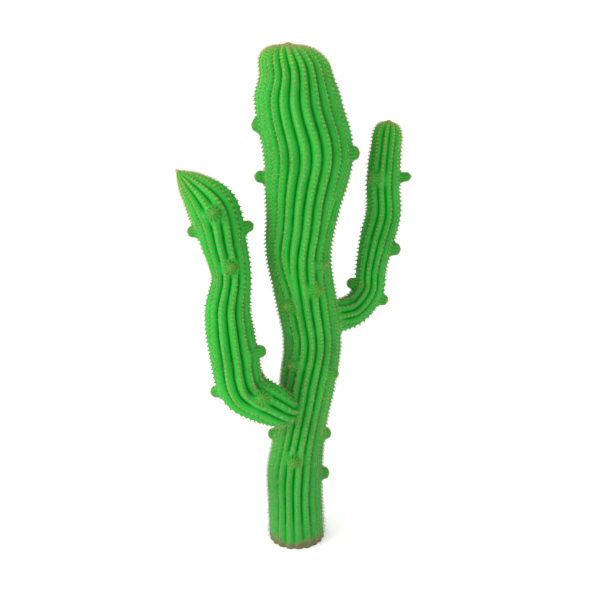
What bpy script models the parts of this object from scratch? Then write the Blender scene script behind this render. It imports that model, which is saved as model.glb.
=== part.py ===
"""Saguaro cactus: a ribbed trunk, two arms that turn upward, and the young arms budding on them.

Metres, +Z up. The origin is the middle of the flat cut under the trunk, at ground level.
The front is -Y and the right-hand side is +X.
"""

import functools
import math
from collections import namedtuple

import bmesh
import bpy
from mathutils import Matrix, Vector

# Where a stem's middle line runs, and the radius over its rib crests there.
Station = namedtuple("Station", "x y z radius")

# A growing tip narrows by (1 - u**swell)**close, with u from 0 at its shoulder to 1 at its point.
TipShape = namedtuple("TipShape", "swell close")
BLUNT_TIP = TipShape(2.3, 0.36)
HORN_TIP = TipShape(1.45, 0.85)

# A level stem's rings lie flat, as the trunk's do; an arm's are square to its middle line.
Stem = namedtuple("Stem", "stations tip tip_shape ribs level")

# A young arm: the height of its place on the stem's middle line, the compass turn that it faces
# (0 front, 90 right, 180 back), how far it stands out of the rib crests, and its width there.
Bud = namedtuple("Bud", "height turn reach width")

HEIGHT = 4.0
PIECE_GAP = 0.0003
CUTTER_GROWTH = 0.0004  # along the radius, so that a gap on a rib's sloping side is still 0.3 mm
MERGE_DISTANCE = 0.00001
RIB_DEPTH = 0.12  # of the stem's radius, from crest to valley
RING_SPACING = 0.145
TIP_RINGS = 5
SHARP_ANGLE = math.radians(40)

TRUNK = Stem(
    stations=(
        Station(0.000, 0.000, 0.00, 0.232),
        Station(-0.010, 0.000, 0.33, 0.223),
        Station(-0.016, 0.003, 0.61, 0.225),
        Station(0.042, 0.006, 1.05, 0.206),
        Station(0.092, 0.009, 1.40, 0.223),
        Station(0.128, 0.010, 1.73, 0.227),
        Station(0.077, 0.009, 2.10, 0.236),
        Station(0.022, 0.006, 2.46, 0.251),
        Station(0.054, 0.003, 2.80, 0.278),
        Station(0.096, 0.000, 3.22, 0.334),
        Station(0.020, 0.000, 3.62, 0.318),
        Station(0.004, 0.000, 3.82, 0.258),
    ),
    tip=(-0.050, 0.000, HEIGHT),
    tip_shape=BLUNT_TIP,
    ribs=18,
    level=True,
)

LEFT_ARM = Stem(
    stations=(
        Station(-0.100, -0.060, 1.22, 0.080),
        Station(-0.120, -0.175, 1.24, 0.130),
        Station(-0.190, -0.265, 1.31, 0.160),
        Station(-0.408, -0.275, 1.46, 0.184),
        Station(-0.470, -0.290, 1.74, 0.184),
        Station(-0.508, -0.280, 2.08, 0.174),
        Station(-0.478, -0.260, 2.35, 0.146),
        Station(-0.526, -0.240, 2.59, 0.168),
        Station(-0.603, -0.220, 2.85, 0.188),
    ),
    tip=(-0.860, -0.200, 3.13),
    tip_shape=HORN_TIP,
    ribs=12,
    level=False,
)
LEFT_ELBOW_HEIGHT = 1.64  # of the middle line, where the arm has turned upward

RIGHT_ARM = Stem(
    stations=(
        Station(0.120, 0.020, 1.92, 0.112),
        Station(0.300, 0.080, 1.93, 0.127),
        Station(0.465, 0.160, 1.96, 0.126),
        Station(0.587, 0.210, 2.11, 0.119),
        Station(0.598, 0.220, 2.28, 0.122),
        Station(0.638, 0.220, 2.52, 0.134),
        Station(0.688, 0.220, 2.74, 0.136),
        Station(0.677, 0.210, 2.98, 0.129),
        Station(0.694, 0.200, 3.29, 0.116),
    ),
    tip=(0.708, 0.200, 3.44),
    tip_shape=BLUNT_TIP,
    ribs=12,
    level=False,
)
RIGHT_ELBOW_HEIGHT = 1.985

TRUNK_BUDS = [
    Bud(3.44, -80, 0.046, 0.108),
    Bud(3.05, -88, 0.078, 0.100),
    Bud(3.24, 70, 0.060, 0.115),
    Bud(2.41, 44, 0.045, 0.080),
    Bud(2.23, 24, 0.062, 0.095),
    Bud(2.10, -30, 0.062, 0.090),
    Bud(1.61, -37, 0.050, 0.085),
    Bud(1.52, 52, 0.050, 0.085),
    Bud(0.94, -88, 0.050, 0.095),
    Bud(0.95, 85, 0.048, 0.100),
    Bud(0.80, -7, 0.068, 0.100),
    Bud(0.59, 85, 0.064, 0.115),
]
LEFT_ARM_BUDS = [
    Bud(2.73, -88, 0.062, 0.095),
    Bud(2.68, 86, 0.068, 0.095),
    Bud(2.83, 8, 0.070, 0.100),
    Bud(2.44, 9, 0.074, 0.095),
    Bud(1.75, 75, 0.076, 0.105),
]
LEFT_FOOT_BUDS = [
    Bud(1.50, -90, 0.058, 0.100),
    Bud(1.37, 46, 0.076, 0.105),
]
RIGHT_ARM_BUDS = [
    Bud(3.02, 90, 0.088, 0.082),
    Bud(3.03, -36, 0.066, 0.100),
    Bud(2.48, 75, 0.070, 0.110),
    Bud(2.13, -85, 0.072, 0.098),
    Bud(2.09, 85, 0.054, 0.095),
]

# The backs carry young arms too, strung up each stem and swinging to either side of its back.
BackRow = namedtuple("BackRow", "count lowest highest swing reach width")
TRUNK_BACK = BackRow(8, 0.70, 3.40, 46, 0.066, 0.102)
LEFT_ARM_BACK = BackRow(4, 1.86, 2.76, 36, 0.068, 0.096)
RIGHT_ARM_BACK = BackRow(3, 2.36, 3.12, 34, 0.068, 0.094)
SWING_STEP = 2.4  # radians from one back bud to the next

BUD_SIDES = 8
BUD_ROOT = 0.058  # how deep it starts under the rib crests, before the stem is cut away
BUD_END_WIDTH = 0.70  # of its width at the crests
BUD_RISE = math.radians(9)
BUD_ROUNDING = 0.46  # of its end's radius
RIM_DEPTH = 0.001  # an edge this near the end's level is part of its rim


# The middle line of a stem ----------------------------------------------------------------


@functools.cache
def marks_along(stem):
    """The stations and the tip as 4-vectors of place and radius, with each one's distance and slope."""
    points = [Vector(station) for station in stem.stations]
    points.append(Vector((*stem.tip, stem.stations[-1].radius)))
    marks = [0.0]
    for low, high in zip(points, points[1:]):
        marks.append(marks[-1] + (high.xyz - low.xyz).length)
    last = len(points) - 1
    slopes = []
    for i in range(last + 1):
        before, after = max(i - 1, 0), min(i + 1, last)
        slopes.append((points[after] - points[before]) / (marks[after] - marks[before]))
    return points, marks, slopes


def read_stem(stem, distance):
    """The middle and the crest radius of a stem, at a distance from its root."""
    points, marks, slopes = marks_along(stem)
    last_span = len(points) - 2
    span = 0
    while span < last_span and distance > marks[span + 1]:
        span += 1
    length = marks[span + 1] - marks[span]
    u = (distance - marks[span]) / length
    place = (
        points[span] * (2 * u**3 - 3 * u**2 + 1)
        + slopes[span] * (u**3 - 2 * u**2 + u) * length
        + points[span + 1] * (3 * u**2 - 2 * u**3)
        + slopes[span + 1] * (u**3 - u**2) * length
    )
    radius = place.w
    if span == last_span:
        shape = stem.tip_shape
        radius = points[-1].w * max(0.0, 1 - u**shape.swell) ** shape.close
    return place.xyz, radius


def direction_at(stem, distance):
    """Which way a stem grows, at a distance from its root."""
    if stem.level:
        return Vector((0, 0, 1))
    step = 0.002
    return (read_stem(stem, distance + step)[0] - read_stem(stem, distance - step)[0]).normalized()


@functools.cache
def axes_at(stem, distance):
    """Two axes across a stem, carried from its root to a distance without twist."""
    step = 0.02
    along = direction_at(stem, 0.0)
    side = along.orthogonal().normalized()
    steps = math.ceil(distance / step)
    for k in range(1, steps + 1):
        along = direction_at(stem, distance * k / steps)
        side = (side - along * side.dot(along)).normalized()
    return side, along.cross(side)


def distance_at_height(stem, height):
    """How far along a stem its middle line is at a height; every stem rises all the way."""
    halvings = 40
    low, high = 0.0, marks_along(stem)[1][-1]
    for _ in range(halvings):
        middle = (low + high) / 2
        if read_stem(stem, middle)[0].z < height:
            low = middle
        else:
            high = middle
    return low


# Ribbed stems -----------------------------------------------------------------------------


def ring_distances(stem, start, end):
    """Evenly spaced rings from start to end; up to a tip they also close in round its dome."""
    marks = marks_along(stem)[1]
    shoulder, tip = marks[-2], marks[-1]
    body_end = shoulder if end is None else end
    count = max(3, round((body_end - start) / RING_SPACING))
    distances = [start + (body_end - start) * k / count for k in range(count + 1)]
    if end is None:
        quarter = math.pi / 2
        for k in range(1, TIP_RINGS + 1):
            distances.append(shoulder + (tip - shoulder) * math.sin(quarter * k / TIP_RINGS))
    return distances


def ribbed_mesh(name, stem, start=0.0, end=None, grown=0.0):
    """A stem from start to end as one closed mesh, with a crest and a valley for each rib."""
    distances = ring_distances(stem, start, end)
    around = 2 * stem.ribs
    bm = bmesh.new()
    bmesh.ops.create_grid(bm, x_segments=around, y_segments=len(distances) - 1, size=1)
    for vert in bm.verts:
        column = round((vert.co.x + 1) / 2 * around)
        row = round((vert.co.y + 1) / 2 * (len(distances) - 1))
        middle, radius = read_stem(stem, distances[row])
        if column % 2:
            radius *= 1 - RIB_DEPTH
        if radius > 0:
            radius += grown
        side, other = axes_at(stem, distances[row])
        turn = 2 * math.pi * (column % around) / around
        vert.co = middle + (side * math.cos(turn) + other * math.sin(turn)) * radius
    bmesh.ops.remove_doubles(bm, verts=bm.verts, dist=MERGE_DISTANCE)
    bmesh.ops.holes_fill(bm, edges=bm.edges, sides=around)
    bmesh.ops.recalc_face_normals(bm, faces=bm.faces)
    # Split alike, a piece and its cutter have the same flat faces, and keep their gap all over.
    bmesh.ops.triangulate(bm, faces=bm.faces, quad_method="FIXED")
    mesh = bpy.data.meshes.new(name)
    bm.to_mesh(mesh)
    bm.free()
    return mesh


# Young arms -------------------------------------------------------------------------------


def back_buds(row):
    """The young arms on the back of a stem, from a rule."""
    buds = []
    for k in range(row.count):
        height = row.lowest + (row.highest - row.lowest) * k / (row.count - 1)
        turn = 180 + row.swing * math.sin(SWING_STEP * (k + 1))
        buds.append(Bud(height, turn, row.reach, row.width))
    return buds


def bud_mesh(name, bud):
    """A stub that narrows to a rounded end, with its middle line along +Z and the crests at 0."""
    surface_radius = bud.width / 2
    end_radius = surface_radius * BUD_END_WIDTH
    widening = (surface_radius - end_radius) / bud.reach
    bm = bmesh.new()
    bmesh.ops.create_cone(
        bm,
        cap_ends=True,
        segments=BUD_SIDES,
        radius1=surface_radius + widening * BUD_ROOT,
        radius2=end_radius,
        depth=bud.reach + BUD_ROOT,
    )
    bmesh.ops.translate(bm, verts=bm.verts, vec=(0, 0, (bud.reach - BUD_ROOT) / 2))
    rim = [edge for edge in bm.edges if all(v.co.z > bud.reach - RIM_DEPTH for v in edge.verts)]
    bmesh.ops.bevel(
        bm,
        geom=rim,
        offset=end_radius * BUD_ROUNDING,
        segments=2,
        profile=0.5,
        affect="EDGES",
        material=-1,
    )
    mesh = bpy.data.meshes.new(name)
    bm.to_mesh(mesh)
    bm.free()
    return mesh


def bud_placement(stem, bud):
    """The matrix that sets a bud on the rib crests, square to its stem and tipped a little upward."""
    distance = distance_at_height(stem, bud.height)
    middle, radius = read_stem(stem, distance)
    along = direction_at(stem, distance)
    turn = math.radians(bud.turn)
    facing = Vector((math.sin(turn), -math.cos(turn), 0))
    outward = (facing - along * facing.dot(along)).normalized()
    axis = outward * math.cos(BUD_RISE) + along * math.sin(BUD_RISE)
    return Matrix.Translation(middle + outward * radius) @ axis.to_track_quat("Z", "Y").to_matrix().to_4x4()


# Objects ----------------------------------------------------------------------------------

Skins = namedtuple("Skins", "stem bud")
Groups = namedtuple("Groups", "parts cutters")

TRUNK_COLOUR = (0.022, 0.330, 0.026)
ARM_COLOUR = (0.020, 0.350, 0.024)
BUD_COLOUR = (0.040, 0.400, 0.034)


def new_collection(name):
    collection = bpy.data.collections.new(name)
    bpy.context.scene.collection.children.link(collection)
    return collection


def new_material(name, colour, roughness):
    """A plain, non-metallic skin."""
    material = bpy.data.materials.new(name)
    material.use_nodes = True
    shader = material.node_tree.nodes["Principled BSDF"]
    shader.inputs["Base Color"].default_value = (*colour, 1.0)
    shader.inputs["Roughness"].default_value = roughness
    shader.inputs["Metallic"].default_value = 0.0
    material.diffuse_color = (*colour, 1.0)
    return material


def add_piece(name, mesh, material, collection):
    mesh.materials.append(material)
    mesh.shade_smooth()
    mesh.set_sharp_from_angle(angle=SHARP_ANGLE)
    piece = bpy.data.objects.new(name, mesh)
    collection.objects.link(piece)
    return piece


def add_cutter(name, mesh, collection):
    cutter = bpy.data.objects.new(name, mesh)
    cutter.hide_render = True
    cutter.display_type = "WIRE"
    collection.objects.link(cutter)
    return cutter


def cut_away(piece, cutter):
    """Takes the cutter's shape out of a piece."""
    cut = piece.modifiers.new(f"less {cutter.name}", "BOOLEAN")
    cut.operation = "DIFFERENCE"
    cut.solver = "EXACT"
    cut.object = cutter


def add_stem(name, stem, buds, skins, groups, start=0.0, end=None):
    """A piece of stem and the young arms on it, with the larger copy of it that cuts what meets it."""
    piece = add_piece(name, ribbed_mesh(name, stem, start, end), skins.stem, groups.parts)
    cutter_mesh = ribbed_mesh(f"{name}_cutter", stem, start, end, grown=CUTTER_GROWTH)
    cutter = add_cutter(f"{name}_cutter", cutter_mesh, groups.cutters)
    for number, bud in enumerate(buds, start=1):
        bud_name = f"{name}_bud_{number:02d}"
        young_arm = add_piece(bud_name, bud_mesh(bud_name, bud), skins.bud, groups.parts)
        young_arm.matrix_world = bud_placement(stem, bud)
        cut_away(young_arm, cutter)
    return piece, cutter


for old in list(bpy.data.objects):
    bpy.data.objects.remove(old)

groups = Groups(new_collection("saguaro_cactus"), new_collection("cutters"))
bud_skin = new_material("bud_skin", BUD_COLOUR, roughness=0.58)
trunk_skins = Skins(new_material("trunk_skin", TRUNK_COLOUR, roughness=0.62), bud_skin)
arm_skins = Skins(new_material("arm_skin", ARM_COLOUR, roughness=0.60), bud_skin)

trunk_buds = TRUNK_BUDS + back_buds(TRUNK_BACK)
_, trunk_cutter = add_stem("trunk", TRUNK, trunk_buds, trunk_skins, groups)

# Each arm is split at its elbow: a foot that grows out of the trunk, and the upright arm.
for name, stem, elbow_height, foot_buds, arm_buds in (
    ("left_arm", LEFT_ARM, LEFT_ELBOW_HEIGHT, LEFT_FOOT_BUDS, LEFT_ARM_BUDS + back_buds(LEFT_ARM_BACK)),
    ("right_arm", RIGHT_ARM, RIGHT_ELBOW_HEIGHT, [], RIGHT_ARM_BUDS + back_buds(RIGHT_ARM_BACK)),
):
    elbow = distance_at_height(stem, elbow_height)
    foot, _ = add_stem(f"{name}_foot", stem, foot_buds, arm_skins, groups, end=elbow - PIECE_GAP / 2)
    cut_away(foot, trunk_cutter)
    add_stem(name, stem, arm_buds, arm_skins, groups, start=elbow + PIECE_GAP / 2)
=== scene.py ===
"""Saguaro cactus: ribbed skins, young arms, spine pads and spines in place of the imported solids."""

import math
from collections import namedtuple
from types import SimpleNamespace

import bmesh
import bpy
import numpy as np
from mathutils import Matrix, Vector, noise


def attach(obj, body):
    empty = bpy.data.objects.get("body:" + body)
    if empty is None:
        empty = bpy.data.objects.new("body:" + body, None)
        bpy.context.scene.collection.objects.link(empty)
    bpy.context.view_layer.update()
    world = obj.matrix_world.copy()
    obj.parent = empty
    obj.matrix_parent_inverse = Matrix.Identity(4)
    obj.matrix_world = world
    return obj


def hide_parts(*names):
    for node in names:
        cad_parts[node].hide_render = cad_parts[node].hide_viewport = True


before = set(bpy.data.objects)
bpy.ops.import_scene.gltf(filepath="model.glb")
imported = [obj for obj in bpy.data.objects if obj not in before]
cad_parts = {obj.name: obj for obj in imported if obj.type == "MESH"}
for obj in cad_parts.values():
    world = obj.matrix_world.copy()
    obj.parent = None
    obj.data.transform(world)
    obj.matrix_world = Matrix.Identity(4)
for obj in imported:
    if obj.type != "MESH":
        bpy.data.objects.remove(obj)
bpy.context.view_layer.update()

# Trunk ------------------------------------------------------------------------------------
# One water-storing stem of green flesh under a thick waxy skin, pleated into ribs so that it can
# swell and shrink. Where it widens, a rib forks into two. It stands on a flat, corky foot.

Station = namedtuple("Station", "x y z radius")  # a point of a middle line, radius over the crests
TipShape = namedtuple("TipShape", "swell close")  # a tip narrows by (1 - u**swell)**close
BLUNT_TIP = TipShape(2.3, 0.36)

TRUNK_STATIONS = (
    Station(0.000, 0.000, 0.00, 0.232),
    Station(-0.010, 0.000, 0.33, 0.223),
    Station(-0.016, 0.003, 0.61, 0.225),
    Station(0.042, 0.006, 1.05, 0.206),
    Station(0.092, 0.009, 1.40, 0.223),
    Station(0.128, 0.010, 1.73, 0.227),
    Station(0.077, 0.009, 2.10, 0.236),
    Station(0.022, 0.006, 2.46, 0.251),
    Station(0.054, 0.003, 2.80, 0.278),
    Station(0.096, 0.000, 3.22, 0.334),
    Station(0.020, 0.000, 3.62, 0.318),
    Station(0.004, 0.000, 3.82, 0.258),
)
TRUNK_TIP = (-0.050, 0.000, 4.00)
TRUNK_RIBS = 24  # at the tip
TRUNK_FORKS = {2: 2.72, 7: 1.62, 11: 2.95, 15: 2.30, 19: 2.86}  # rib that forks: height of the fork
FORK_LENGTH = 0.50  # over which a rib parts into two
FORK_PADS = 0.62  # a forked pair parted less than this has one row of pads

# How ribs and pads grow: the depth of a valley, of a rib's width; the length over which it deepens
# above the foot; how uneven a crest is; its bulge under a pad; the way from pad to pad on old skin
# and on new, where the pads are made; how far back from the tip they crowd; rows of skin to each pad.
Habit = namedtuple("Habit", "pleat foot_length unevenness bulge spacing tip_spacing crowding rows")
TRUNK_HABIT = Habit(0.40, 0.45, 0.0026, 0.0026, 0.032, 0.012, 0.14, 4)

Wave = namedtuple("Wave", "longest size")  # its greatest length, and how far it strays
RIB_STEPS = np.array([0.0, 0.10, 0.28, 0.50, 0.72, 0.90])  # across a rib, close together in its valley
RIB_BLUNTNESS = 0.95
RIB_VARIETY = 0.07  # how far one rib's width is from the next, of a rib
RIB_WIDTH_WAVE = Wave(1.3, 0.05)  # how a rib's width changes as it climbs, of a rib
SWAY_WAVE = Wave(1.7, 0.035)  # how all the ribs sway round the stem together, in radians
TWIST = 0.10  # radians a metre
CREST_WAVE_LENGTH = 0.9
GIRTH_WAVE_LENGTH = 0.5
EVEN_RADIUS = 0.10  # a stem thinner than this is smoother in proportion
FOOT_PLEAT = 0.40  # of the full depth, at a stem's very base
NARROW_RIB = 0.013  # only every other rib this narrow has pads
BARE_RIB = 0.006  # no rib this narrow has any
NEW_SKIN = 0.30  # from the tip, over which new green turns old
LINE_SAMPLES = 1500
MERGE_DISTANCE = 1e-6
SHARP_ANGLE = math.radians(75)

# The valley green is darkened as painted shade in the grooves; the crest green is lighter.
TRUNK_GREENS = ("#0F701C", "#169C26", "#24AA2B")  # in the valleys, on the flanks, on the crests
CORK_HEIGHT = 0.11


def middle_line(stations, tip, tip_shape, level=False, root_dome=0.0, samples=LINE_SAMPLES):
    """Fine samples of a stem from its root to its tip: middle, radius, and the axes across it.

    A level stem is sliced flat, so its foot is too. Over root_dome a buried root rounds off to nothing.
    """
    points = np.array([*stations, (*tip, stations[-1].radius)])
    marks = np.r_[0, np.cumsum(np.linalg.norm(np.diff(points[:, :3], axis=0), axis=1))]
    slopes = np.empty_like(points)
    slopes[1:-1] = (points[2:] - points[:-2]) / (marks[2:] - marks[:-2])[:, None]
    slopes[0] = (points[1] - points[0]) / (marks[1] - marks[0])
    slopes[-1] = (points[-1] - points[-2]) / (marks[-1] - marks[-2])
    shoulder, end = marks[-2], marks[-1]
    dome = shoulder + (end - shoulder) * np.sin(np.linspace(0, np.pi / 2, samples // 3))
    distance = np.r_[np.linspace(0, shoulder, samples)[:-1], dome]

    span = np.clip(np.searchsorted(marks, distance, side="right") - 1, 0, len(marks) - 2)
    length = marks[span + 1] - marks[span]
    u = ((distance - marks[span]) / length)[:, None]
    curve = (
        points[span] * (2 * u**3 - 3 * u**2 + 1)
        + slopes[span] * (u**3 - 2 * u**2 + u) * length[:, None]
        + points[span + 1] * (3 * u**2 - 2 * u**3)
        + slopes[span + 1] * (u**3 - u**2) * length[:, None]
    )
    in_tip = span == len(marks) - 2
    narrowing = np.clip(1 - u[:, 0] ** tip_shape.swell, 0, 1) ** tip_shape.close
    radius = np.where(in_tip, stations[-1].radius * narrowing, curve[:, 3])
    if root_dome:
        radius *= np.sqrt(1 - np.clip(1 - distance / root_dome, 0, 1) ** 2)
    middle = curve[:, :3]

    if level:
        along = np.tile([0.0, 0.0, 1.0], (len(distance), 1))
    else:
        along = np.gradient(middle, distance, axis=0)
        along /= np.linalg.norm(along, axis=1)[:, None]
    side = np.empty_like(middle)
    carried = np.array([1.0, 0.0, 0.0]) if level else np.array([0.0, 0.0, 1.0])
    for i, direction in enumerate(along):
        carried = carried - direction * (carried @ direction)
        carried /= np.linalg.norm(carried)
        side[i] = carried
    # Measured over the skin, a row of pads keeps its spacing where the tip rounds over.
    steps = np.hypot(np.diff(distance), np.diff(radius))
    return SimpleNamespace(
        middle=middle, radius=radius, along=along, side=side, skin=np.r_[0, np.cumsum(steps)]
    )


def read_line(line, at):
    """The line's samples read at distances over the skin."""

    def read(values):
        return np.stack([np.interp(at, line.skin, column) for column in values.T], axis=1)

    rows = SimpleNamespace(
        skin=at, middle=read(line.middle), along=read(line.along), side=read(line.side)
    )
    rows.along /= np.linalg.norm(rows.along, axis=1)[:, None]
    rows.side /= np.linalg.norm(rows.side, axis=1)[:, None]
    rows.other = np.cross(rows.along, rows.side)
    rows.radius = np.interp(at, line.skin, line.radius)
    return rows


def ring_distances(length, habit):
    """Rings over the skin, closer together towards the tip, as its pads are."""
    marks = [length]
    while marks[-1] > 0:
        crowding = math.exp((marks[-1] - length) / habit.crowding)
        step = habit.spacing - (habit.spacing - habit.tip_spacing) * crowding
        marks.append(max(marks[-1] - step, 0.0))
    count = len(marks) - 1
    rows = np.arange(count * habit.rows + 1) / habit.rows
    return np.interp(rows, np.arange(count + 1), marks[::-1])


def slow_waves(rng, count, along, longest, size):
    """Gentle random waves along a stem, one line of them for each of count ribs."""
    waves = np.zeros((count, len(along)))
    for part in (1, 2, 3):
        phase = rng.uniform(0, 2 * np.pi, (count, 1))
        length = longest / part * rng.uniform(0.8, 1.2, (count, 1))
        waves += np.sin(2 * np.pi * along / length + phase) / part
    return size * waves / 2


def smoothstep(low, high, value):
    t = np.clip((value - low) / (high - low), 0, 1)
    return t * t * (3 - 2 * t)


def unit(vectors):
    return vectors / np.maximum(np.linalg.norm(vectors, axis=-1), 1e-9)[..., None]


def part_ribs(rng, rows, ribs, forks):
    """Where the valleys run round a stem, how many ribs it has there, and how far each fork is open."""
    share = rng.uniform(1 - RIB_VARIETY, 1 + RIB_VARIETY, (ribs, 1))
    share = share + slow_waves(rng, ribs, rows.skin, *RIB_WIDTH_WAVE)
    parted = np.ones((ribs, len(rows.skin)))
    for rib, height in forks.items():
        opening = smoothstep(height - FORK_LENGTH / 2, height + FORK_LENGTH / 2, rows.middle[:, 2])
        share[rib : rib + 2] *= 0.5 + 0.5 * opening
        parted[rib] = parted[rib + 1] = opening
    total = share.sum(axis=0)
    valleys = np.vstack([np.zeros(len(total)), np.cumsum(share, axis=0)]) / total * 2 * np.pi
    valleys += TWIST * rows.skin + slow_waves(rng, 1, rows.skin, *SWAY_WAVE)
    return valleys, total, parted


def choose_pads(width, parted, forks, rows_per_pad):
    """The rib and row of each pad. Those of ribs side by side alternate, and narrow ribs have fewer."""
    chosen = []
    for rib in range(len(parted)):
        for row in range(rows_per_pad // 2 * (rib % 2), len(width) - 2, rows_per_pad):
            shared = rib - 1 in forks and parted[rib, row] < FORK_PADS
            crowded = width[row] < BARE_RIB or (width[row] < NARROW_RIB and rib % 2)
            if not shared and not crowded:
                chosen.append((rib, row))
    return np.array(chosen).T


def grow_stem(line, ribs, habit, forks, seed):
    """A stem's skin as rows and columns of places, and the spine pads on its rib crests."""
    rng = np.random.default_rng(seed)
    rows = read_line(line, ring_distances(line.skin[-1], habit))
    rows.radius[-1] = 0.0
    count = len(rows.skin)
    valleys, total, parted = part_ribs(rng, rows, ribs, forks)

    # Across each rib: 0 in one valley, 1 in the next. An unparted pair shares one crest.
    steps = RIB_STEPS[:, None]
    across = np.tile(steps, (ribs, 1, count))
    crest_at = np.full((ribs, count), 0.5)
    for rib in forks:
        opening = parted[rib]
        across[rib] = steps / 2 * (1 - opening) + steps * opening
        across[rib + 1] = (1 + steps) / 2 * (1 - opening) + steps * opening
        crest_at[rib] = 1 / (1 + opening)
        crest_at[rib + 1] = opening / (1 + opening)
    rib_height = np.sin(np.pi * across) ** RIB_BLUNTNESS

    # Each crest is a little uneven, and bulges under each spine pad. Ribs side by side alternate.
    offset = slow_waves(rng, ribs, rows.skin, CREST_WAVE_LENGTH, habit.unevenness)
    offset += slow_waves(rng, 1, rows.skin, GIRTH_WAVE_LENGTH, habit.unevenness)
    bulge = np.cos(2 * np.pi * (np.arange(count) / habit.rows - np.arange(ribs)[:, None] % 2 / 2))
    for rib in forks:
        offset[rib + 1] += (offset[rib] - offset[rib + 1]) * (1 - parted[rib])
        bulge[rib + 1] += (bulge[rib] - bulge[rib + 1]) * (1 - parted[rib])
    raised = (offset + habit.bulge * bulge) * np.clip(rows.radius / EVEN_RADIUS, 0, 1)

    def place(angle, out):
        turned = np.cos(angle)[..., None] * rows.side + np.sin(angle)[..., None] * rows.other
        return rows.middle + turned * out[..., None]

    width = 2 * np.pi * rows.radius / total
    deepening = smoothstep(0, habit.foot_length, rows.skin) if habit.foot_length else np.ones(count)
    sunk = habit.pleat * width * (FOOT_PLEAT + (1 - FOOT_PLEAT) * deepening) * (1 - rib_height)
    turns = valleys[:-1, None] + steps * np.diff(valleys, axis=0)[:, None]
    places = place(turns, rows.radius + rib_height * raised[:, None] - sunk)

    crest_turn = valleys[:-1] + crest_at * np.diff(valleys, axis=0)
    crest = place(crest_turn, rows.radius + raised)
    uphill = unit(np.gradient(crest, axis=1))
    round_stem = np.cos(crest_turn)[..., None] * rows.other - np.sin(crest_turn)[..., None] * rows.side
    outward = unit(np.cross(round_stem, uphill))

    from_tip = rows.skin[-1] - rows.skin
    rib, row = choose_pads(width, parted, forks, habit.rows)
    pads = SimpleNamespace(
        place=crest[rib, row], out=outward[rib, row], up=uphill[rib, row],
        from_tip=from_tip[row], room=width[row],
    )

    def by_rows(values):
        return values.reshape(ribs * len(RIB_STEPS), count, -1).swapaxes(0, 1)

    fresh = np.broadcast_to(np.exp(-from_tip / NEW_SKIN), rib_height.shape)
    return SimpleNamespace(
        line=line, pads=pads, places=by_rows(places), crest=by_rows(rib_height), sunk=by_rows(sunk),
        fresh=by_rows(fresh),
    )


def add_wrapped_grid(bm, layers, stem):
    """A grid bent round into a closed stem: a seam along its side, a point at its tip."""

    def closed(values):
        return np.concatenate([values, values[:, :1]], axis=1).reshape(-1, values.shape[-1])

    rows, columns = stem.crest.shape[:2]
    made = bmesh.ops.create_grid(bm, x_segments=columns, y_segments=rows - 1, size=1, calc_uvs=True)
    values = [closed(field) for field in (stem.places, stem.crest, stem.sunk, stem.fresh)]
    for vert, place, *own in zip(made["verts"], *values):
        vert.co = place
        for layer, value in zip(layers, own):
            vert[layer] = value[0]
    bmesh.ops.remove_doubles(bm, verts=made["verts"], dist=MERGE_DISTANCE)


def mesh_from(bm, name):
    """The finished bmesh as a mesh."""
    mesh = bpy.data.meshes.new(name)
    bm.to_mesh(mesh)
    bm.free()
    return mesh


def in_scene(name, mesh):
    """An object at the origin, whose place is in its mesh."""
    piece = bpy.data.objects.new(name, mesh)
    bpy.context.scene.collection.objects.link(piece)
    return piece


def stem_piece(name, stems):
    """One mesh of one or more stems, each closed at its root."""
    bm = bmesh.new()
    bm.loops.layers.uv.new("OFBake")
    layers = [bm.verts.layers.float.new(key) for key in ("crest", "sunk", "fresh")]
    for stem in stems:
        add_wrapped_grid(bm, layers, stem)
    bmesh.ops.holes_fill(bm, edges=bm.edges, sides=0)
    bmesh.ops.recalc_face_normals(bm, faces=bm.faces)
    mesh = mesh_from(bm, name)
    mesh.shade_smooth()
    mesh.set_sharp_from_angle(angle=SHARP_ANGLE)
    return in_scene(name, mesh)


def linear(hex_colour):
    """An sRGB hex colour as linear red, green, blue and alpha."""
    channels = [int(hex_colour[i : i + 2], 16) / 255 for i in (1, 3, 5)]
    return (*(c / 12.92 if c <= 0.04045 else ((c + 0.055) / 1.055) ** 2.4 for c in channels), 1.0)


def grey(value):
    return (value, value, value, 1.0)


def add_node(tree, kind, inputs=(), stops=(), **settings):
    """Adds a node with its settings. Each input is a plain value, or an output to link from."""
    made = tree.nodes.new(kind)
    for name, value in settings.items():
        setattr(made, name, value)
    for socket, value in dict(inputs).items():
        if isinstance(value, bpy.types.NodeSocket):
            tree.links.new(value, made.inputs[socket])
        else:
            made.inputs[socket].default_value = value
    for i, (position, colour) in enumerate(stops):
        elements = made.color_ramp.elements
        stop = elements[i] if i < 2 else elements.new(position)
        stop.position, stop.color = position, colour
    return made


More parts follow.
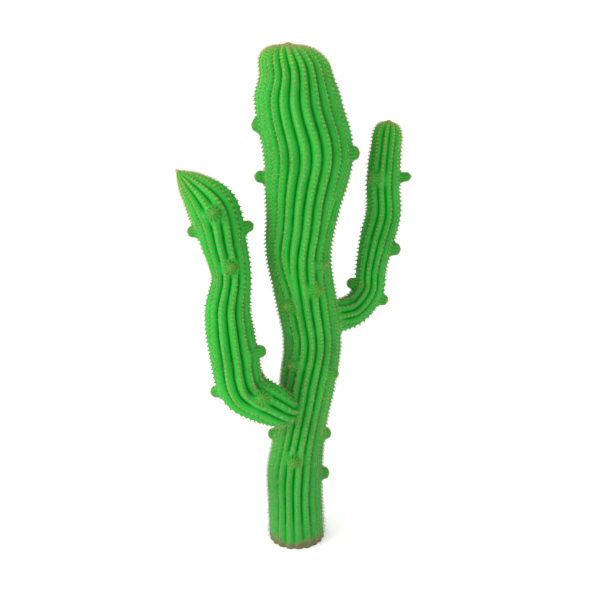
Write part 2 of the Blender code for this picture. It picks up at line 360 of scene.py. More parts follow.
def cactus_skin(name, greens, lightening=0.40, cork_height=0.0):
    """Live saguaro skin: a thick waxy cuticle, so deep green flesh shows under a soft dull gloss.

    New growth is lighter by lightening. Up to cork_height the oldest ribs have turned to cork, from
    their crests down into the valleys.
    """
    valley, flank, ridge = (linear(green) for green in greens)
    material = bpy.data.materials.new(name)
    material.use_nodes = True
    tree = material.node_tree
    shader = tree.nodes["Principled BSDF"]
    where = add_node(tree, "ShaderNodeTexCoord").outputs["Object"]
    crest = add_node(tree, "ShaderNodeAttribute", attribute_name="crest").outputs["Fac"]
    fresh = add_node(tree, "ShaderNodeAttribute", attribute_name="fresh").outputs["Fac"]

    # Green by rib height, from valley to crest: the valleys are darkened here as painted shade, and the
    # crests are a lighter green.
    green = add_node(
        tree, "ShaderNodeValToRGB", {"Fac": crest}, [(0.0, valley), (1.0, ridge), (0.50, flank)]
    ).outputs["Color"]

    # Patches of darker, older green about 300 mm long.
    patches = add_node(tree, "ShaderNodeTexNoise", {"Vector": where, "Scale": 1 / 0.30, "Detail": 3.0})
    darker = add_node(
        tree, "ShaderNodeValToRGB", {"Fac": patches.outputs["Fac"]}, [(0.42, grey(0)), (0.68, grey(0.45))]
    )
    green = add_node(
        tree, "ShaderNodeMix", {0: darker.outputs["Color"], 6: green, 7: linear("#0C7A1C")},
        data_type="RGBA",
    ).outputs[2]

    # Freckles about 8 mm across, where darker flesh shows through the skin.
    freckles = add_node(
        tree, "ShaderNodeTexNoise", {"Vector": where, "Scale": 1 / 0.008, "Detail": 4.0, "Roughness": 0.6}
    )
    freckled = add_node(
        tree, "ShaderNodeValToRGB", {"Fac": freckles.outputs["Fac"]}, [(0.50, grey(0)), (0.66, grey(0.5))]
    )
    green = add_node(
        tree, "ShaderNodeMix", {0: freckled.outputs["Color"], 6: green, 7: linear("#0D7A1E")},
        data_type="RGBA",
    ).outputs[2]

    # Pores: pale pinpricks in the skin. Real ones are far finer, and these are 5 mm apart so as to show.
    pores = add_node(tree, "ShaderNodeTexVoronoi", {"Vector": where, "Scale": 1 / 0.005})
    pored = add_node(
        tree, "ShaderNodeValToRGB", {"Fac": pores.outputs["Distance"]},
        [(0.16, grey(0.45)), (0.34, grey(0))],
    )
    green = add_node(
        tree, "ShaderNodeMix", {0: pored.outputs["Color"], 6: green, 7: linear("#39BC40")},
        data_type="RGBA",
    ).outputs[2]

    # New growth is lighter and yellower.
    newness = add_node(tree, "ShaderNodeMath", {0: fresh, 1: lightening}, operation="MULTIPLY")
    green = add_node(
        tree, "ShaderNodeMix", {0: newness.outputs[0], 6: green, 7: linear("#33B62C")}, data_type="RGBA"
    ).outputs[2]

    # Wax bloom: a pale film that rubs off in patches about 60 mm across.
    bloom = add_node(
        tree, "ShaderNodeTexNoise", {"Vector": where, "Scale": 1 / 0.06, "Detail": 5.0, "Roughness": 0.6}
    ).outputs["Fac"]
    bloomed = add_node(tree, "ShaderNodeValToRGB", {"Fac": bloom}, [(0.46, grey(0)), (0.78, grey(0.20))])
    green = add_node(
        tree, "ShaderNodeMix", {0: bloomed.outputs["Color"], 6: green, 7: linear("#4CB04E")},
        data_type="RGBA",
    ).outputs[2]

    # Scabs: small brown scars about 45 mm apart on the crests, which take the knocks.
    scab = add_node(
        tree, "ShaderNodeTexNoise",
        {"Vector": where, "Scale": 1 / 0.045, "Detail": 6.0, "Roughness": 0.65},
    )
    exposed = add_node(tree, "ShaderNodeMath", {0: crest, 1: 3.0}, operation="POWER").outputs[0]
    scabbed = add_node(tree, "ShaderNodeMath", {0: scab.outputs["Fac"], 1: exposed}, operation="MULTIPLY")
    scab_mask = add_node(
        tree, "ShaderNodeValToRGB", {"Fac": scabbed.outputs[0]}, [(0.65, grey(0)), (0.71, grey(0.7))]
    )
    colour = add_node(
        tree, "ShaderNodeMix", {0: scab_mask.outputs["Color"], 6: green, 7: linear("#7B7447")},
        data_type="RGBA",
    ).outputs[2]

    # Skin grain 4 mm across, and faint wrinkles round the stem 12 mm apart, 48 mm long.
    grain = add_node(tree, "ShaderNodeTexNoise", {"Vector": where, "Scale": 1 / 0.004, "Detail": 2.0})
    flattened = add_node(tree, "ShaderNodeMapping", {"Vector": where, "Scale": (1.0, 1.0, 4.0)})
    wrinkles = add_node(
        tree, "ShaderNodeTexNoise", {"Vector": flattened.outputs[0], "Scale": 1 / 0.048, "Detail": 3.0}
    )
    relief = add_node(
        tree, "ShaderNodeMath", {0: wrinkles.outputs["Fac"], 1: 2.2, 2: grain.outputs["Fac"]},
        operation="MULTIPLY_ADD",
    ).outputs[0]
    roughness = add_node(
        tree, "ShaderNodeMapRange", {"Value": bloom, "To Min": 0.44, "To Max": 0.62}
    ).outputs["Result"]

    if cork_height:
        # The cork has a ragged edge: olive where the skin is dying, then grey brown.
        up = add_node(tree, "ShaderNodeSeparateXYZ", {0: where}).outputs["Z"]
        ragged = add_node(
            tree, "ShaderNodeTexNoise",
            {"Vector": where, "Scale": 1 / 0.11, "Detail": 8.0, "Roughness": 0.68},
        )
        age = add_node(
            tree, "ShaderNodeMapRange",
            {"Value": up, "From Max": cork_height, "To Min": 0.55, "To Max": 0.0},
        )
        crest_first = add_node(
            tree, "ShaderNodeMath", {0: crest, 1: 0.14, 2: age.outputs["Result"]},
            operation="MULTIPLY_ADD",
        )
        cork_here = add_node(
            tree, "ShaderNodeMath", {0: ragged.outputs["Fac"], 1: crest_first.outputs[0]}, operation="ADD"
        ).outputs[0]
        dying = add_node(
            tree, "ShaderNodeValToRGB", {"Fac": cork_here}, [(0.70, grey(0)), (0.98, grey(0.85))]
        )
        dead = add_node(
            tree, "ShaderNodeValToRGB", {"Fac": cork_here}, [(0.86, grey(0)), (1.0, grey(1))]
        )

        # Cork plates about 15 mm wide and 7 mm high, cracked apart as the stem swelled.
        shrunk = add_node(tree, "ShaderNodeMapping", {"Vector": where, "Scale": (1.0, 1.0, 2.2)})
        wobble = add_node(tree, "ShaderNodeTexNoise", {"Vector": where, "Scale": 1 / 0.02, "Detail": 3.0})
        bent = add_node(
            tree, "ShaderNodeVectorMath",
            {0: wobble.outputs["Color"], 1: (0.016, 0.016, 0.016), 2: shrunk.outputs[0]},
            operation="MULTIPLY_ADD",
        )
        plates = add_node(
            tree, "ShaderNodeTexVoronoi", {"Vector": bent.outputs[0], "Scale": 1 / 0.015},
            feature="DISTANCE_TO_EDGE",
        ).outputs["Distance"]
        cork = add_node(
            tree, "ShaderNodeValToRGB", {"Fac": plates},
            [(0.0, linear("#4C4634")), (0.55, linear("#8D8466")), (0.16, linear("#756C4F"))],
        )
        colour = add_node(
            tree, "ShaderNodeMix", {0: dying.outputs["Color"], 6: colour, 7: linear("#6B7738")},
            data_type="RGBA",
        ).outputs[2]
        colour = add_node(
            tree, "ShaderNodeMix", {0: dead.outputs["Color"], 6: colour, 7: cork.outputs["Color"]},
            data_type="RGBA",
        ).outputs[2]
        roughness = add_node(
            tree, "ShaderNodeMix", {0: dead.outputs["Color"], 2: roughness, 3: 0.92}, data_type="FLOAT"
        ).outputs[0]
        relief = add_node(
            tree, "ShaderNodeMath", {0: dead.outputs["Color"], 1: plates, 2: relief},
            operation="MULTIPLY_ADD",
        ).outputs[0]

    bump = add_node(tree, "ShaderNodeBump", {"Height": relief, "Strength": 0.55, "Distance": 0.0020})
    tree.links.new(colour, shader.inputs["Base Color"])
    tree.links.new(roughness, shader.inputs["Roughness"])
    tree.links.new(bump.outputs["Normal"], shader.inputs["Normal"])
    shader.inputs["IOR"].default_value = 1.45
    shader.inputs["Specular IOR Level"].default_value = 0.21
    shader.inputs["Coat Weight"].default_value = 0.06
    shader.inputs["Coat Roughness"].default_value = 0.40
    return material


def finish_piece(piece, material, slot, *nodes):
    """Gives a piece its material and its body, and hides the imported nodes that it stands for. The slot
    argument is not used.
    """
    piece.data.materials.append(material)
    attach(piece, "root")
    if nodes:
        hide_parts(*nodes)


trunk_line = middle_line(TRUNK_STATIONS, TRUNK_TIP, BLUNT_TIP, level=True)
trunk = grow_stem(trunk_line, TRUNK_RIBS, TRUNK_HABIT, TRUNK_FORKS, seed=11)
trunk.piece = stem_piece("trunk_visual", [trunk])
trunk_skin = cactus_skin("waxy_trunk_skin", TRUNK_GREENS, cork_height=CORK_HEIGHT)
finish_piece(trunk.piece, trunk_skin, "trunk_skin", "trunk")

# Left arm ---------------------------------------------------------------------------------
# A stout side stem that broke out of the trunk at a spine pad, and turned up to the light. Its
# tip is drawn out to a horn. Both skins swell where they meet, and their ribs close up there.

HORN_TIP = TipShape(1.45, 0.85)
LEFT_ARM_STATIONS = (
    Station(-0.100, -0.060, 1.22, 0.080),
    Station(-0.120, -0.175, 1.24, 0.130),
    Station(-0.190, -0.265, 1.31, 0.160),
    Station(-0.408, -0.275, 1.46, 0.184),
    Station(-0.470, -0.290, 1.74, 0.184),
    Station(-0.508, -0.280, 2.08, 0.174),
    Station(-0.478, -0.260, 2.35, 0.146),
    Station(-0.526, -0.240, 2.59, 0.168),
    Station(-0.603, -0.220, 2.85, 0.188),
)
LEFT_ARM_TIP = (-0.860, -0.200, 3.13)
LEFT_ARM_RIBS = 14
LEFT_ARM_FORKS = {4: 2.50}
ARM_HABIT = TRUNK_HABIT._replace(foot_length=0.20)
ARM_BLEND = 0.055  # the skins swell where they come this near
BLEND_SWELL = 0.25  # how far, of that
VALLEY_FILL = 0.65  # how nearly the valleys close up where two stems meet
LINE_STRIDE = 12  # every 12th sample is enough to measure how near a stem is

# In the valleys, darkened there as painted shade; on the flanks; on the crests, lighter.
ARM_GREENS = ("#0F701C", "#179F27", "#26AD2D")


def swollen(places, sunk, line, other, blend):
    """Places moved out from their own line, where another stem's skin is nearer than blend."""
    moved = np.array(places, dtype=float)
    reach = other.radius.max() + blend
    inside = (moved > other.middle.min(axis=0) - reach) & (moved < other.middle.max(axis=0) + reach)
    near = np.flatnonzero(inside.all(axis=1))
    here = moved[near]
    gap = np.full(len(near), np.inf)
    for middle, radius in zip(other.middle[::LINE_STRIDE], other.radius[::LINE_STRIDE]):
        gap = np.minimum(gap, np.linalg.norm(here - middle, axis=1) - radius)
    close = gap < blend
    near, here, closeness = near[close], here[close], np.clip(1 - gap[close] / blend, 0, 1)
    nearest, centre = np.full(len(near), np.inf), np.zeros((len(near), 3))
    for middle in line.middle[::LINE_STRIDE]:
        distance = np.linalg.norm(here - middle, axis=1)
        closer = distance < nearest
        nearest[closer], centre[closer] = distance[closer], middle
    rise = VALLEY_FILL * sunk[near] * closeness + BLEND_SWELL * blend * closeness**2
    moved[near] += unit(here - centre) * rise[:, None]
    return moved


def join(stem, other, blend):
    """Swells a stem's skin, and its pads with it, towards another stem."""
    mesh = stem.piece.data
    count = len(mesh.vertices)
    places, sunk = np.empty(count * 3, np.float32), np.empty(count, np.float32)
    mesh.vertices.foreach_get("co", places)
    mesh.attributes["sunk"].data.foreach_get("value", sunk)
    places = swollen(places.reshape(-1, 3), sunk, stem.line, other.line, blend)
    mesh.vertices.foreach_set("co", places.ravel())
    mesh.update()
    on_crest = np.zeros(len(stem.pads.place))
    stem.pads.place = swollen(stem.pads.place, on_crest, stem.line, other.line, blend)


arm_skin = cactus_skin("waxy_arm_skin", ARM_GREENS)
left_line = middle_line(LEFT_ARM_STATIONS, LEFT_ARM_TIP, HORN_TIP)
left_arm = grow_stem(left_line, LEFT_ARM_RIBS, ARM_HABIT, LEFT_ARM_FORKS, seed=23)
left_arm.piece = stem_piece("left_arm_visual", [left_arm])
finish_piece(left_arm.piece, arm_skin, "arm_skin", "left_arm_foot", "left_arm")
join(trunk, left_arm, ARM_BLEND)
join(left_arm, trunk, ARM_BLEND)

# Right arm --------------------------------------------------------------------------------
# A younger and slimmer side stem of the same skin, with fewer ribs. It leaves the trunk level,
# behind its right side, and stands straight up from its elbow.

RIGHT_ARM_STATIONS = (
    Station(0.120, 0.020, 1.92, 0.112),
    Station(0.300, 0.080, 1.93, 0.127),
    Station(0.465, 0.160, 1.96, 0.126),
    Station(0.587, 0.210, 2.11, 0.119),
    Station(0.598, 0.220, 2.28, 0.122),
    Station(0.638, 0.220, 2.52, 0.134),
    Station(0.688, 0.220, 2.74, 0.136),
    Station(0.677, 0.210, 2.98, 0.129),
    Station(0.694, 0.200, 3.29, 0.116),
)
RIGHT_ARM_TIP = (0.708, 0.200, 3.44)
RIGHT_ARM_RIBS = 12
RIGHT_ROOT_DOME = 0.24  # over which its root rounds off, inside the trunk

right_line = middle_line(RIGHT_ARM_STATIONS, RIGHT_ARM_TIP, BLUNT_TIP, root_dome=RIGHT_ROOT_DOME)
right_arm = grow_stem(right_line, RIGHT_ARM_RIBS, ARM_HABIT, {}, seed=37)
right_arm.piece = stem_piece("right_arm_visual", [right_arm])
finish_piece(right_arm.piece, arm_skin, "arm_skin", "right_arm_foot", "right_arm")
join(trunk, right_arm, ARM_BLEND)
join(right_arm, trunk, ARM_BLEND)

# Young arms -------------------------------------------------------------------------------
# Short round-ended stems that have just broken out of the ribs, tender and light green, with
# small ribs and crowded pads of their own. The older stem's skin swells round the base of each.

Bud = namedtuple("Bud", "height turn reach width")  # height on its stem, compass turn, length, width
BackRow = namedtuple("BackRow", "count lowest highest swing reach width")

TRUNK_BUDS = [
    Bud(3.44, -80, 0.046, 0.108),
    Bud(3.05, -88, 0.078, 0.100),
    Bud(3.24, 70, 0.060, 0.115),
    Bud(2.41, 44, 0.045, 0.080),
    Bud(2.23, 24, 0.062, 0.095),
    Bud(2.10, -30, 0.062, 0.090),
    Bud(1.61, -37, 0.050, 0.085),
    Bud(1.52, 52, 0.050, 0.085),
    Bud(0.94, -88, 0.050, 0.095),
    Bud(0.95, 85, 0.048, 0.100),
    Bud(0.80, -7, 0.068, 0.100),
    Bud(0.59, 85, 0.064, 0.115),
]
LEFT_ARM_BUDS = [
    Bud(2.73, -88, 0.062, 0.095),
    Bud(2.68, 86, 0.068, 0.095),
    Bud(2.83, 8, 0.070, 0.100),
    Bud(2.44, 9, 0.074, 0.095),
    Bud(1.75, 75, 0.076, 0.105),
    Bud(1.50, -90, 0.058, 0.100),
    Bud(1.37, 46, 0.076, 0.105),
]
RIGHT_ARM_BUDS = [
    Bud(3.02, 90, 0.088, 0.082),
    Bud(3.03, -36, 0.066, 0.100),
    Bud(2.48, 75, 0.070, 0.110),
    Bud(2.13, -85, 0.072, 0.098),
    Bud(2.09, 85, 0.054, 0.095),
]
TRUNK_BACK = BackRow(8, 0.70, 3.40, 46, 0.066, 0.102)
LEFT_ARM_BACK = BackRow(4, 1.86, 2.76, 36, 0.068, 0.096)
RIGHT_ARM_BACK = BackRow(3, 2.36, 3.12, 34, 0.068, 0.094)
SWING_STEP = 2.4  # radians from one back bud to the next

BUD_END_WIDTH = 0.70  # of its width at the crests
BUD_RISE = math.radians(9)
BUD_ROOT = 0.045  # sunk into the stem
BUD_SPINE_ROOM = 0.003  # left for the spines, out of its reach
BUD_SHOULDER = 0.42  # of its reach, where the round end begins
BUD_TIP = TipShape(2.6, 0.46)
BUD_RIBS = 11
BUD_HABIT = Habit(0.26, 0.0, 0.0008, 0.0010, 0.013, 0.009, 0.03, 2)
BUD_BLEND = 0.034
BUD_PAD_ROOM = 0.015  # their pads and spines are still small

# In the valleys, darkened there as painted shade; on the flanks; on the crests, lighter.
BUD_GREENS = ("#0B5C16", "#138C21", "#20A029")
BUD_LIGHTENING = 0.20


def back_buds(row):
    """Young arms strung up the back of a stem, swinging from side to side."""
    buds = []
    for k in range(row.count):
        height = row.lowest + (row.highest - row.lowest) * k / (row.count - 1)
        turn = 180 + row.swing * math.sin(SWING_STEP * (k + 1))
        buds.append(Bud(height, turn, row.reach, row.width))
    return buds


def bud_line(host, bud):
    """A young arm's middle line, from inside its stem out through the rib crests."""
    at = np.searchsorted(host.middle[:, 2], bud.height)
    turn = math.radians(bud.turn)
    facing = np.array([math.sin(turn), -math.cos(turn), 0.0])
    outward = unit(facing - host.along[at] * (facing @ host.along[at]))
    axis = outward * math.cos(BUD_RISE) + host.along[at] * math.sin(BUD_RISE)
    base = host.middle[at] + outward * host.radius[at]
    narrowing = bud.width / 2 * (1 - BUD_END_WIDTH) / bud.reach
    stations = [
        Station(*(base + axis * out), bud.width / 2 - narrowing * out)
        for out in (-BUD_ROOT, 0.0, bud.reach * BUD_SHOULDER)
    ]
    return middle_line(stations, base + axis * (bud.reach - BUD_SPINE_ROOM), BUD_TIP, samples=150)


def merged(parts):
    """Namespaces of arrays joined end to end, field by field."""
    return SimpleNamespace(
        **{key: np.concatenate([getattr(part, key) for part in parts]) for key in vars(parts[0])}
    )


def grow_young_arms(name, host, buds, seed):
    """All the young arms of one stem, as one piece."""
    stems = [
        grow_stem(bud_line(host.line, bud), BUD_RIBS, BUD_HABIT, {}, seed + number)
        for number, bud in enumerate(buds)
    ]
    lines = merged([stem.line for stem in stems])
    young = SimpleNamespace(line=lines, pads=merged([stem.pads for stem in stems]), stems=stems)
    young.pads.room = np.minimum(young.pads.room, BUD_PAD_ROOM)
    young.piece = stem_piece(f"{name}_young_arms", stems)
    nodes = [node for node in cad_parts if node.startswith(name) and "_bud_" in node]
    finish_piece(young.piece, bud_skin, "young_arm_skin", *nodes)
    join(host, young, BUD_BLEND)
    join(young, host, BUD_BLEND)
    return young


bud_skin = cactus_skin("tender_bud_skin", BUD_GREENS, lightening=BUD_LIGHTENING)
trunk_young = grow_young_arms("trunk", trunk, TRUNK_BUDS + back_buds(TRUNK_BACK), seed=100)
left_young = grow_young_arms("left_arm", left_arm, LEFT_ARM_BUDS + back_buds(LEFT_ARM_BACK), seed=200)
right_buds = RIGHT_ARM_BUDS + back_buds(RIGHT_ARM_BACK)
right_young = grow_young_arms("right_arm", right_arm, right_buds, seed=300)

# Growing tips -----------------------------------------------------------------------------
# At the very top of a stem the new ribs and pads are still packed under a cap of cream felt, which
# is plant wool that shelters them from sun and frost. New spines stand up through it.

TipCap = namedtuple("TipCap", "radius pads")
TRUNK_CAP = TipCap(0.033, 60)
LEFT_CAP = TipCap(0.014, 14)
RIGHT_CAP = TipCap(0.022, 30)
BUD_CAP = TipCap(0.010, 8)
CAP_HEIGHT = 0.30  # of its radius
CAP_SEAT = 0.005  # how far its rim is sunk between the ribs
CAP_LUMP = 0.014  # across a lump of its felt
CAP_LUMPINESS = 0.0035
CAP_PAD_SPREAD = 0.97  # the outermost pads, of its radius
CAP_PAD_ROOM = 0.022
CAP_SPLAY = 0.5  # how far the outermost pads lean out
GOLDEN_TURN = math.pi * (3 - math.sqrt(5))


def cap_frame(line, radius):
    """Where a cap of this radius lies over a stem's end, and the axes of the stem there."""
    in_tip = len(line.skin) - 1 - np.searchsorted(line.radius[::-1], radius)
    end = read_line(line, line.skin[[in_tip, -1]])
    return end.middle[0], end.middle[1], end.side[1], end.other[1], end.along[1]


def cap_pads(line, cap):
    """New pads over the cap, in the spiral in which a growing tip makes them."""
    rim, top, side, other, along = cap_frame(line, cap.radius)
    drop = (top - rim) @ along
    number = np.arange(cap.pads) + 0.5
    out = np.sqrt(number / cap.pads)[:, None]
    turn = (GOLDEN_TURN * number)[:, None]
    across = np.cos(turn) * side + np.sin(turn) * other
    rise = CAP_HEIGHT * cap.radius * (1 - out**2)
    place = top + across * out * cap.radius * CAP_PAD_SPREAD + along * (rise - (drop + CAP_SEAT) * out**2)
    outward = unit(along + across * out * (CAP_SPLAY + drop / cap.radius))
    # A little of the side axis keeps this from vanishing in the very middle.
    up = unit(np.cross(outward, np.cross(along, outward)) + 1e-4 * side)
    return SimpleNamespace(
        place=place, out=outward, up=unit(up - outward * (up * outward).sum(axis=1)[:, None]),
        from_tip=np.zeros(cap.pads), room=np.full(cap.pads, CAP_PAD_ROOM),
    )


def felt_material():
    """Matted plant wool: short dead hairs in soft clumps 8 mm across, with no gloss at all."""
    material = bpy.data.materials.new("cream_tip_felt")
    material.use_nodes = True
    tree = material.node_tree
    shader = tree.nodes["Principled BSDF"]
    where = add_node(tree, "ShaderNodeTexCoord").outputs["Object"]
    clumps = add_node(tree, "ShaderNodeTexNoise", {"Vector": where, "Scale": 1 / 0.008, "Detail": 4.0})
    wool = add_node(
        tree, "ShaderNodeValToRGB", {"Fac": clumps.outputs["Fac"]},
        [(0.35, linear("#8A6F3C")), (0.65, linear("#D6C08A"))],
    )
    bump = add_node(
        tree, "ShaderNodeBump", {"Height": clumps.outputs["Fac"], "Strength": 0.8, "Distance": 0.002}
    )
    tree.links.new(wool.outputs["Color"], shader.inputs["Base Color"])
    tree.links.new(bump.outputs["Normal"], shader.inputs["Normal"])
    shader.inputs["Roughness"].default_value = 0.95
    shader.inputs["Sheen Weight"].default_value = 0.3
    return material


noise.seed_set(5)  # without one, the lumps would be others on each run
bm = bmesh.new()
caps = [(trunk, TRUNK_CAP), (left_arm, LEFT_CAP), (right_arm, RIGHT_CAP)]
for stem, cap in caps:
    rim, top, side, other, along = (Vector(part) for part in cap_frame(stem.line, cap.radius))
    drop = (top - rim).dot(along)
    made = bmesh.ops.create_uvsphere(bm, u_segments=32, v_segments=16, radius=1)
    for vert in made["verts"]:
        x, y, z = vert.co
        out = math.hypot(x, y)
        lift = cap.radius * CAP_HEIGHT * z - (drop + CAP_SEAT) * out**2
        vert.co = top + (side * x + other * y) * cap.radius + along * lift
        vert.co += noise.noise_vector(vert.co / CAP_LUMP) * CAP_LUMPINESS
bmesh.ops.recalc_face_normals(bm, faces=bm.faces)
felt_mesh = mesh_from(bm, "growing_tip_felt")
felt_mesh.shade_smooth()
finish_piece(in_scene("growing_tip_felt", felt_mesh), felt_material(), "spine_pad_wool")

# Spine pads -------------------------------------------------------------------------------
# Each pad is a small felt cushion of wool on a rib crest, the only place that spines grow from:
# olive on young arms, cream on other new growth, worn to grey brown below.

PAD_SIZE = (0.0046, 0.0062, 0.0034)  # half its width, half its length up the rib, half its thickness
PAD_LIFT = 0.0006
PAD_VARIETY = 0.15
SMALLEST_PAD = 0.32  # of a full-sized one
FULL_ROOM = 0.04  # on a rib this wide, pads and spines have their full size
LOWEST_PAD = 0.035
ARM_CLEARANCE = 0.012  # pads this near to an arm are left out
BUD_CLEARANCE = 0.004
NEW_GROWTH = 0.42  # from the tip, where pads and spines are still new
GROWTH_VARIETY = 0.3


def free_pads(pads, others):
    """The pads that are clear of the ground and of the other stems, by each one's clearance."""
    free = pads.place[:, 2] > LOWEST_PAD
    for other, clearance in others:
        middle, radius = other.line.middle[::LINE_STRIDE], other.line.radius[::LINE_STRIDE]
        apart = np.full(len(free), np.inf)
        for centre, size in zip(middle, radius):
            apart = np.minimum(apart, np.linalg.norm(pads.place - centre, axis=1) - size)
        free &= apart > clearance
    return SimpleNamespace(**{key: value[free] for key, value in vars(pads).items()})


def repeated(name, template, matrices):
    """One mesh that repeats a template for each 3 x 4 matrix. Operators would be too slow for so many."""
    count, corners = len(matrices), len(template.vertices)
    points = np.empty(corners * 3, np.float32)
    template.vertices.foreach_get("co", points)
    points = np.c_[points.reshape(-1, 3), np.ones(corners)]
    places = np.einsum("nij,kj->nki", matrices, points)
    sizes = np.array([len(face.vertices) for face in template.polygons])
    loops = np.concatenate([face.vertices[:] for face in template.polygons])
    first = np.r_[0, np.cumsum(sizes)[:-1]]
    copy = np.arange(count)[:, None]
    mesh = bpy.data.meshes.new(name)
    mesh.vertices.add(count * corners)
    mesh.loops.add(count * len(loops))
    mesh.polygons.add(count * len(sizes))
    mesh.vertices.foreach_set("co", places.ravel().astype(np.float32))
    mesh.loops.foreach_set("vertex_index", (loops + copy * corners).ravel().astype(np.int32))
    mesh.polygons.foreach_set("loop_start", (first + copy * len(loops)).ravel().astype(np.int32))
    mesh.update(calc_edges=True)
    mesh.shade_smooth()
    return in_scene(name, mesh)


def pad_matrices(pads, rng):
    """Cushions flat on the skin, smaller where the pads crowd."""
    variety = rng.uniform(1 - PAD_VARIETY, 1 + PAD_VARIETY, len(pads.room))
    size = np.clip(pads.room / FULL_ROOM, SMALLEST_PAD, 1) * variety
    axes = [np.cross(pads.up, pads.out), pads.up, pads.out]
    columns = [axis * (half * size)[:, None] for axis, half in zip(axes, PAD_SIZE)]
    return np.stack([*columns, pads.place + pads.out * PAD_LIFT], axis=2)


def wool_material(name, colour):
    """Felted plant wool: short dead hairs, so it is rough and a little soft at its edges."""
    material = bpy.data.materials.new(name)
    material.use_nodes = True
    shader = material.node_tree.nodes["Principled BSDF"]
    shader.inputs["Base Color"].default_value = linear(colour)
    shader.inputs["Roughness"].default_value = 0.95
    shader.inputs["Sheen Weight"].default_value = 0.3
    return material


new_wool = wool_material("new_cream_wool", "#BDB571")
old_wool = wool_material("weathered_wool", "#85875A")
tender_wool = wool_material("tender_olive_wool", "#8F9147")
bm = bmesh.new()
bmesh.ops.create_icosphere(bm, subdivisions=1, radius=1)
pad_shape = mesh_from(bm, "pad_shape")

rng = np.random.default_rng(5)
near_trunk = [(left_arm, ARM_CLEARANCE), (right_arm, ARM_CLEARANCE), (trunk_young, BUD_CLEARANCE)]
near_left_arm = [(trunk, ARM_CLEARANCE), (left_young, BUD_CLEARANCE)]
near_right_arm = [(trunk, ARM_CLEARANCE), (right_young, BUD_CLEARANCE)]
pad_groups = [
    ("trunk", free_pads(trunk.pads, near_trunk)),
    ("left_arm", free_pads(left_arm.pads, near_left_arm)),
    ("right_arm", free_pads(right_arm.pads, near_right_arm)),
]
young_pads = [
    free_pads(young.pads, [(host, BUD_CLEARANCE)])
    for young, host in ((trunk_young, trunk), (left_young, left_arm), (right_young, right_arm))
]
for prefix, pads in pad_groups:
    matrices = pad_matrices(pads, rng)
    variety = rng.uniform(1 - GROWTH_VARIETY, 1 + GROWTH_VARIETY, len(matrices))
    new = pads.from_tip < NEW_GROWTH * variety
    finish_piece(repeated(f"{prefix}_new_pads", pad_shape, matrices[new]), new_wool, "spine_pad_wool")
    finish_piece(repeated(f"{prefix}_old_pads", pad_shape, matrices[~new]), old_wool, "spine_pad_wool")
matrices = np.concatenate([pad_matrices(pads, rng) for pads in young_pads])
finish_piece(repeated("young_arm_pads", pad_shape, matrices), tender_wool, "spine_pad_wool")

# Spines -----------------------------------------------------------------------------------
# Stiff straight needles of hard dead tissue. From each pad a ring of short ones lies back over
# the skin and a few long ones stand out and down: amber on young arms, gold on other new growth,
# straw later, grey near the foot.

SpineKind = namedtuple("SpineKind", "count tilt tilt_spread length spread radius downward")
RING_SPINES = SpineKind(13, math.radians(68), 0.22, 0.020, 0.30, 0.00064, False)
LONG_SPINES = SpineKind(5, math.radians(38), 0.35, 0.031, 0.28, 0.00088, True)
CAP_SPINES = SpineKind(9, math.radians(36), 0.45, 0.028, 0.30, 0.00075, False)
YOUNG_SPINES = SpineKind(9, math.radians(58), 0.50, 0.024, 0.30, 0.00052, False)
SPINE_SIDES = 3
SPINE_ROOT = 0.001  # its base is this far above the skin, inside the pad
SPINE_FAN = 1.6  # radians either side of straight down
RING_VARIETY = 0.03  # of a turn
SMALLEST_SPINE = 0.45  # of the length of a full-sized one
THINNEST_SPINE = 0.6  # of a full-sized one's thickness, however short it is
LOWEST_SPINE = 0.004
FOOT_HEIGHT = 0.80  # below this the spines have weathered grey
EARLY_GROWTH = 0.90  # below this the trunk grew as a young plant, with the longest spines
LATE_GROWTH = 2.20  # above this they are as short as they get
EARLY_VIGOUR = 0.4  # how much longer the longest are


def vigour(place):
    """A saguaro makes its longest spines while it is small, so they are longer low on the trunk."""
    return 1 + EARLY_VIGOUR * (1 - smoothstep(EARLY_GROWTH, LATE_GROWTH, place[:, 2]))


def spine_matrices(pads, kind, rng, growth=1.0):
    """A needle from the origin along +Z, set on each pad kind.count times."""
    shape = (len(pads.place), kind.count)
    if kind.downward:
        turn = np.pi + rng.uniform(-SPINE_FAN, SPINE_FAN, shape)
    else:
        variety = rng.uniform(-RING_VARIETY, RING_VARIETY, shape)
        turn = 2 * np.pi * (np.arange(kind.count) / kind.count + variety)
    tilt = kind.tilt + rng.uniform(-kind.tilt_spread, kind.tilt_spread, shape)
    size = np.clip(pads.room / FULL_ROOM, SMALLEST_SPINE, 1) * growth
    length = kind.length * size[:, None] * (1 + rng.uniform(-kind.spread, kind.spread, shape))
    across = np.cross(pads.up, pads.out)
    flat = np.cos(turn)[..., None] * pads.up[:, None] + np.sin(turn)[..., None] * across[:, None]
    along = np.cos(tilt)[..., None] * pads.out[:, None] + np.sin(tilt)[..., None] * flat
    side = unit(np.cross(along, flat))
    radius = kind.radius * (THINNEST_SPINE + (1 - THINNEST_SPINE) * np.minimum(size, 1))[:, None, None]
    base = np.broadcast_to((pads.place + pads.out * SPINE_ROOT)[:, None], along.shape)
    needle = along * length[..., None]
    matrices = np.stack([side * radius, np.cross(along, side) * radius, needle, base], axis=3)
    from_tip = np.broadcast_to(pads.from_tip[:, None], shape)
    above = (base + needle)[..., 2] > LOWEST_SPINE
    return matrices[above], from_tip[above]


def spine_material(name, colour, roughness):
    """A hard dry needle, faintly polished like old horn."""
    material = bpy.data.materials.new(name)
    material.use_nodes = True
    shader = material.node_tree.nodes["Principled BSDF"]
    shader.inputs["Base Color"].default_value = linear(colour)
    shader.inputs["Roughness"].default_value = roughness
    shader.inputs["IOR"].default_value = 1.54
    return material


gold_spine = spine_material("new_gold_spine", "#C3A955", 0.42)
straw_spine = spine_material("straw_spine", "#B4B374", 0.50)
grey_spine = spine_material("weathered_grey_spine", "#93957C", 0.65)
amber_spine = spine_material("tender_amber_spine", "#96853A", 0.42)

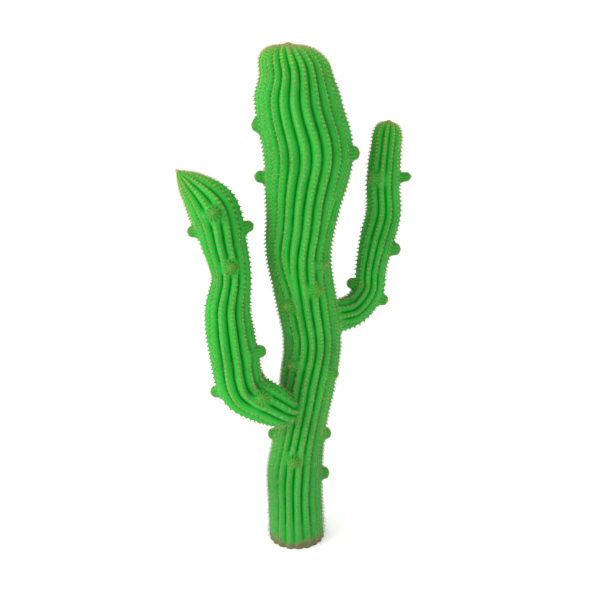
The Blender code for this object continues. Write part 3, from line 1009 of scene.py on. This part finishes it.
bm = bmesh.new()
bmesh.ops.create_cone(bm, cap_ends=True, segments=SPINE_SIDES, radius1=1, radius2=0, depth=1)
bmesh.ops.translate(bm, verts=bm.verts, vec=(0, 0, 0.5))
bmesh.ops.remove_doubles(bm, verts=bm.verts, dist=MERGE_DISTANCE)
spine_shape = mesh_from(bm, "spine_shape")

for prefix, pads in pad_groups:
    growth = vigour(pads.place) if prefix == "trunk" else 1.0
    parts = [spine_matrices(pads, kind, rng, growth) for kind in (RING_SPINES, LONG_SPINES)]
    matrices, from_tip = (np.concatenate(field) for field in zip(*parts))
    variety = rng.uniform(1 - GROWTH_VARIETY, 1 + GROWTH_VARIETY, len(matrices))
    gold = from_tip < NEW_GROWTH * variety
    weathered = ~gold & (matrices[:, 2, 3] < FOOT_HEIGHT * variety)
    groups = [
        ("gold", gold, gold_spine),
        ("straw", ~gold & ~weathered, straw_spine),
        ("grey", weathered, grey_spine),
    ]
    for word, chosen, material in groups:
        if chosen.any():
            piece = repeated(f"{prefix}_{word}_spines", spine_shape, matrices[chosen])
            finish_piece(piece, material, "spines")

parts = [spine_matrices(pads, YOUNG_SPINES, rng)[0] for pads in young_pads]
finish_piece(repeated("young_arm_spines", spine_shape, np.concatenate(parts)), amber_spine, "spines")
young_stems = [stem for young in (trunk_young, left_young, right_young) for stem in young.stems]
parts = [
    spine_matrices(cap_pads(stem.line, cap), CAP_SPINES, rng)[0]
    for stem, cap in caps + [(stem, BUD_CAP) for stem in young_stems]
]
finish_piece(repeated("growing_tip_spines", spine_shape, np.concatenate(parts)), gold_spine, "spines")

# Studio -----------------------------------------------------------------------------------
# A plain white floor under soft light that is a little stronger from the left, and the camera
# above head height, looking down at the plant.

bm = bmesh.new()
bmesh.ops.create_circle(bm, cap_ends=True, segments=96, radius=60)
floor = in_scene("studio_floor", mesh_from(bm, "studio_floor"))
floor_paint = bpy.data.materials.new("matt_white_floor_paint")
floor_paint.use_nodes = True
floor_shader = floor_paint.node_tree.nodes["Principled BSDF"]
floor_shader.inputs["Base Color"].default_value = linear("#FFFFFF")
floor_shader.inputs["Roughness"].default_value = 1.0
floor.data.materials.append(floor_paint)

world = bpy.data.worlds.new("soft_white_studio")
world.use_nodes = True
background = world.node_tree.nodes["Background"]
background.inputs["Color"].default_value = (1, 1, 1, 1)
background.inputs["Strength"].default_value = 1.18
bpy.context.scene.world = world

softbox = bpy.data.lights.new("left_softbox", "AREA")
softbox.shape = "RECTANGLE"
softbox.size, softbox.size_y = 4.0, 5.0
softbox.energy = 420
softbox_object = bpy.data.objects.new("left_softbox", softbox)
softbox_object.location = (-6.5, -4.0, 5.0)
aim = Vector((0.0, 0.0, 2.0)) - Vector(softbox_object.location)
softbox_object.rotation_euler = aim.to_track_quat("-Z", "Y").to_euler()
bpy.context.scene.collection.objects.link(softbox_object)

camera_data = bpy.data.cameras.new("camera")
camera_data.lens = 50
camera_data.sensor_width = 36
camera = bpy.data.objects.new("camera", camera_data)
camera.location = (0.079, -6.385, 3.992)
camera.rotation_euler = (math.radians(73), 0, 0)
bpy.context.scene.collection.objects.link(camera)
bpy.context.scene.camera = camera
bpy.context.scene.view_settings.view_transform = "Standard"

bpy.context.view_layer.update()
